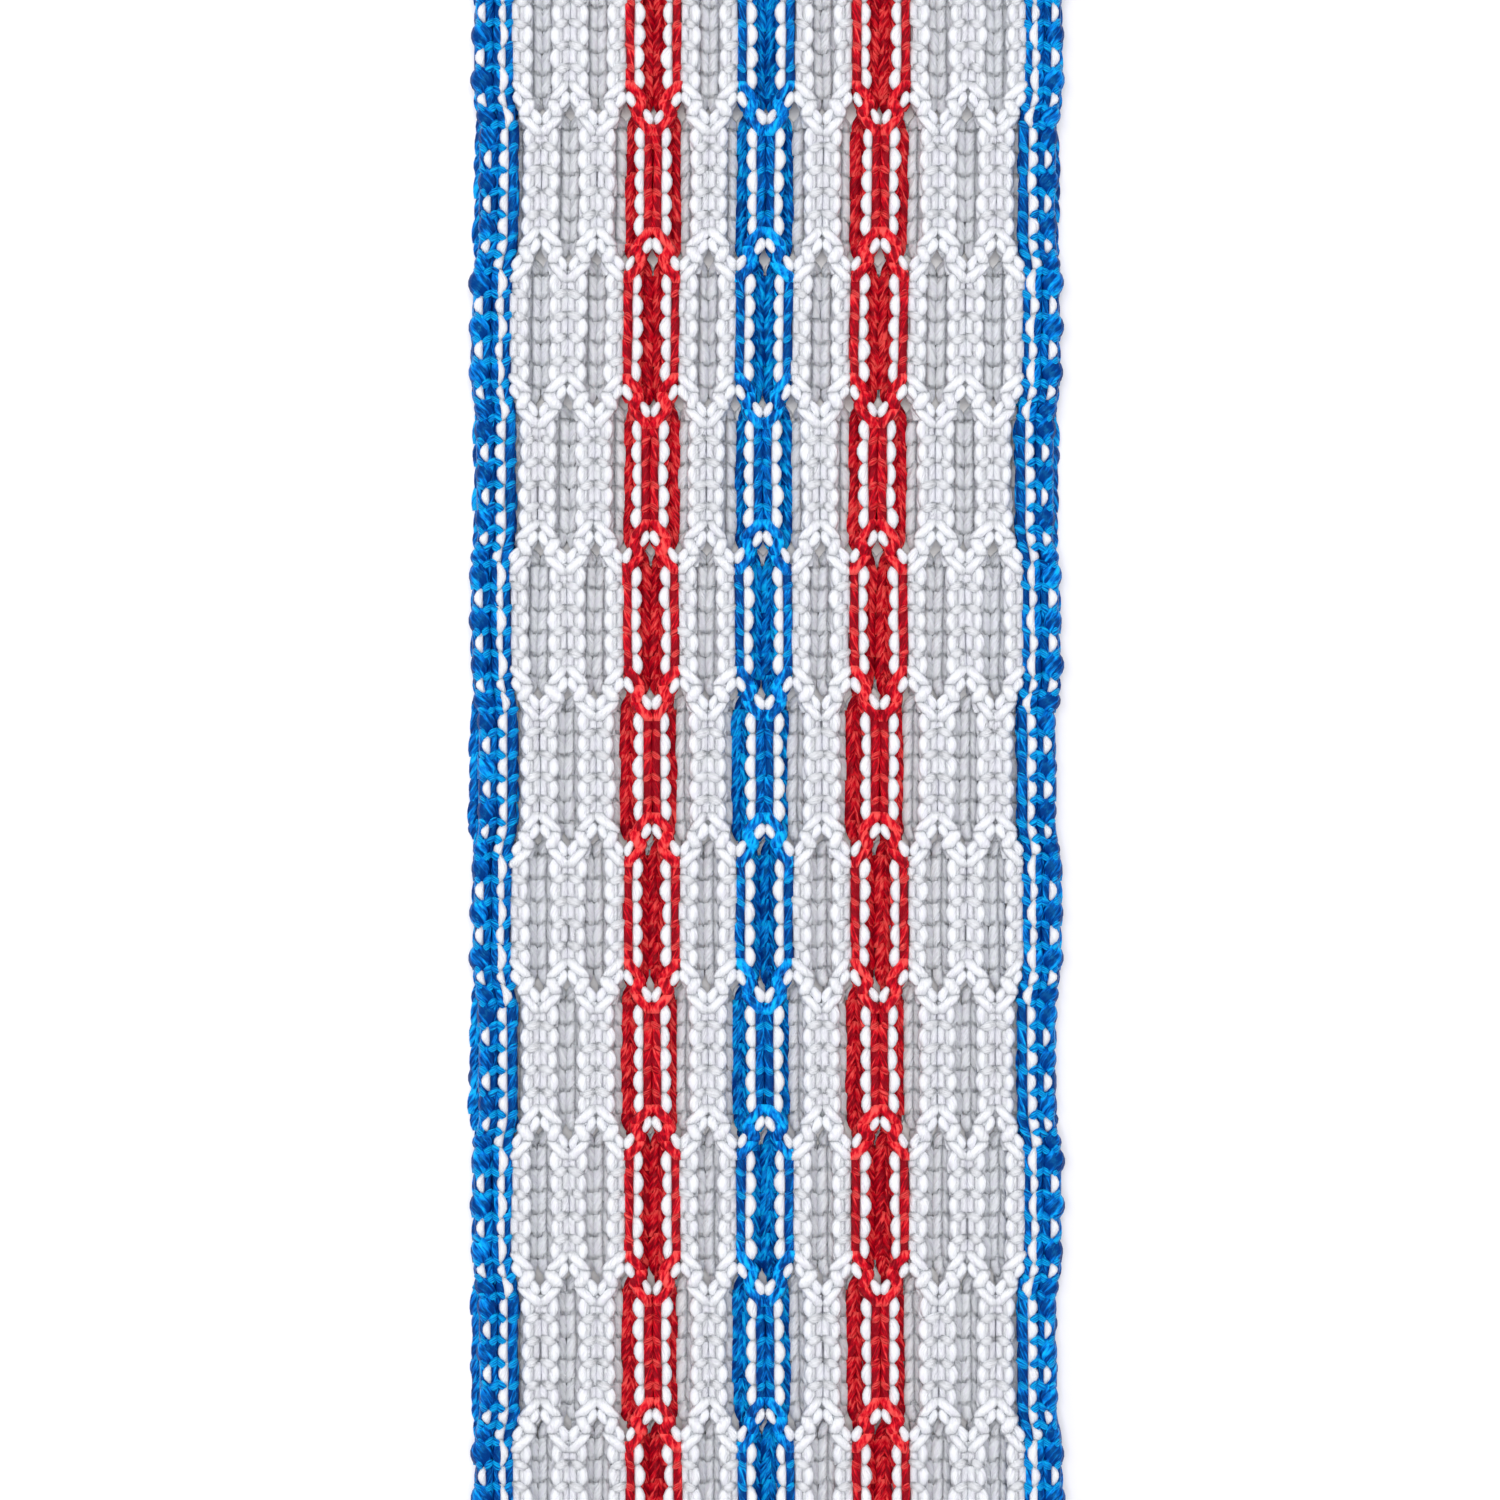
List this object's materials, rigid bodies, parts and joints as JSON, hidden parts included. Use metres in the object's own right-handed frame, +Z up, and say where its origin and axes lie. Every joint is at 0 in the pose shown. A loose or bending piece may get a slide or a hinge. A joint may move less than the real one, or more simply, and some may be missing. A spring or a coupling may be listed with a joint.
{
  "type": "lacrosse pocket mesh",
  "caption": "Knitted lacrosse pocket mesh: a flat strip of zigzag chains that form open diamonds, with red and blue stripes and blue selvages, folded double.",
  "frame": {"origin": "middle of the surface that the folded strip lies on, under the middle of its box", "axes": "+Y along the strip towards the fold, +Z up through the two layers, X across the strip"},
  "size_m": [0.0592, 0.2064, 0.0058],
  "materials": {
    "white_yarn": "shiny filament polyester yarn, knitted",
    "red_yarn": "shiny filament polyester yarn, knitted, dyed red",
    "blue_yarn": "shiny filament polyester yarn, knitted, dyed blue"
  },
  "bodies": {
    "back_layer": {"back_left_selvage_outer": "blue_yarn", "back_left_selvage_inner": "blue_yarn", "back_white_wale_1": "white_yarn", "back_white_wale_2": "white_yarn", "back_white_wale_3": "white_yarn", "back_white_wale_4": "white_yarn", "back_red_wale_1": "red_yarn", "back_red_wale_2": "red_yarn", "back_white_wale_5": "white_yarn", "back_white_wale_6": "white_yarn", "back_blue_wale_1": "blue_yarn", "back_blue_wale_2": "blue_yarn", "back_white_wale_7": "white_yarn", "back_white_wale_8": "white_yarn", "back_red_wale_3": "red_yarn", "back_red_wale_4": "red_yarn", "back_white_wale_9": "white_yarn", "back_white_wale_10": "white_yarn", "back_white_wale_11": "white_yarn", "back_white_wale_12": "white_yarn", "back_right_selvage_inner": "blue_yarn", "back_right_selvage_outer": "blue_yarn"},
    "fold": {"fold_link_1": "white_yarn", "fold_link_2": "white_yarn", "fold_link_3": "white_yarn", "fold_link_4": "white_yarn", "fold_link_5": "white_yarn", "fold_link_6": "white_yarn", "fold_link_7": "white_yarn", "fold_link_8": "white_yarn", "fold_link_9": "white_yarn", "fold_link_10": "white_yarn"},
    "front_layer": {"front_left_selvage_outer": "blue_yarn", "front_left_selvage_inner": "blue_yarn", "front_white_wale_1": "white_yarn", "front_white_wale_2": "white_yarn", "front_white_wale_3": "white_yarn", "front_white_wale_4": "white_yarn", "front_red_wale_1": "red_yarn", "front_red_wale_2": "red_yarn", "front_white_wale_5": "white_yarn", "front_white_wale_6": "white_yarn", "front_blue_wale_1": "blue_yarn", "front_blue_wale_2": "blue_yarn", "front_white_wale_7": "white_yarn", "front_white_wale_8": "white_yarn", "front_red_wale_3": "red_yarn", "front_red_wale_4": "red_yarn", "front_white_wale_9": "white_yarn", "front_white_wale_10": "white_yarn", "front_white_wale_11": "white_yarn", "front_white_wale_12": "white_yarn", "front_right_selvage_inner": "blue_yarn", "front_right_selvage_outer": "blue_yarn"}
  },
  "joints": [
    {"name": "fold_back_hinge", "type": "hinge", "parent": "back_layer", "child": "fold", "pos_m": [0.00026, 0.10202, 0.0011], "axis": [-1, 0.0013, 0], "range_deg": [0, 90]},
    {"name": "fold_front_hinge", "type": "hinge", "parent": "fold", "child": "front_layer", "pos_m": [0.00026, 0.10202, 0.0047], "axis": [-1, 0.0013, 0], "range_deg": [0, 90]}
  ],
  "couplings": [
    {"joint": "fold_front_hinge", "follows": "fold_back_hinge", "ratio": 1}
  ]
}
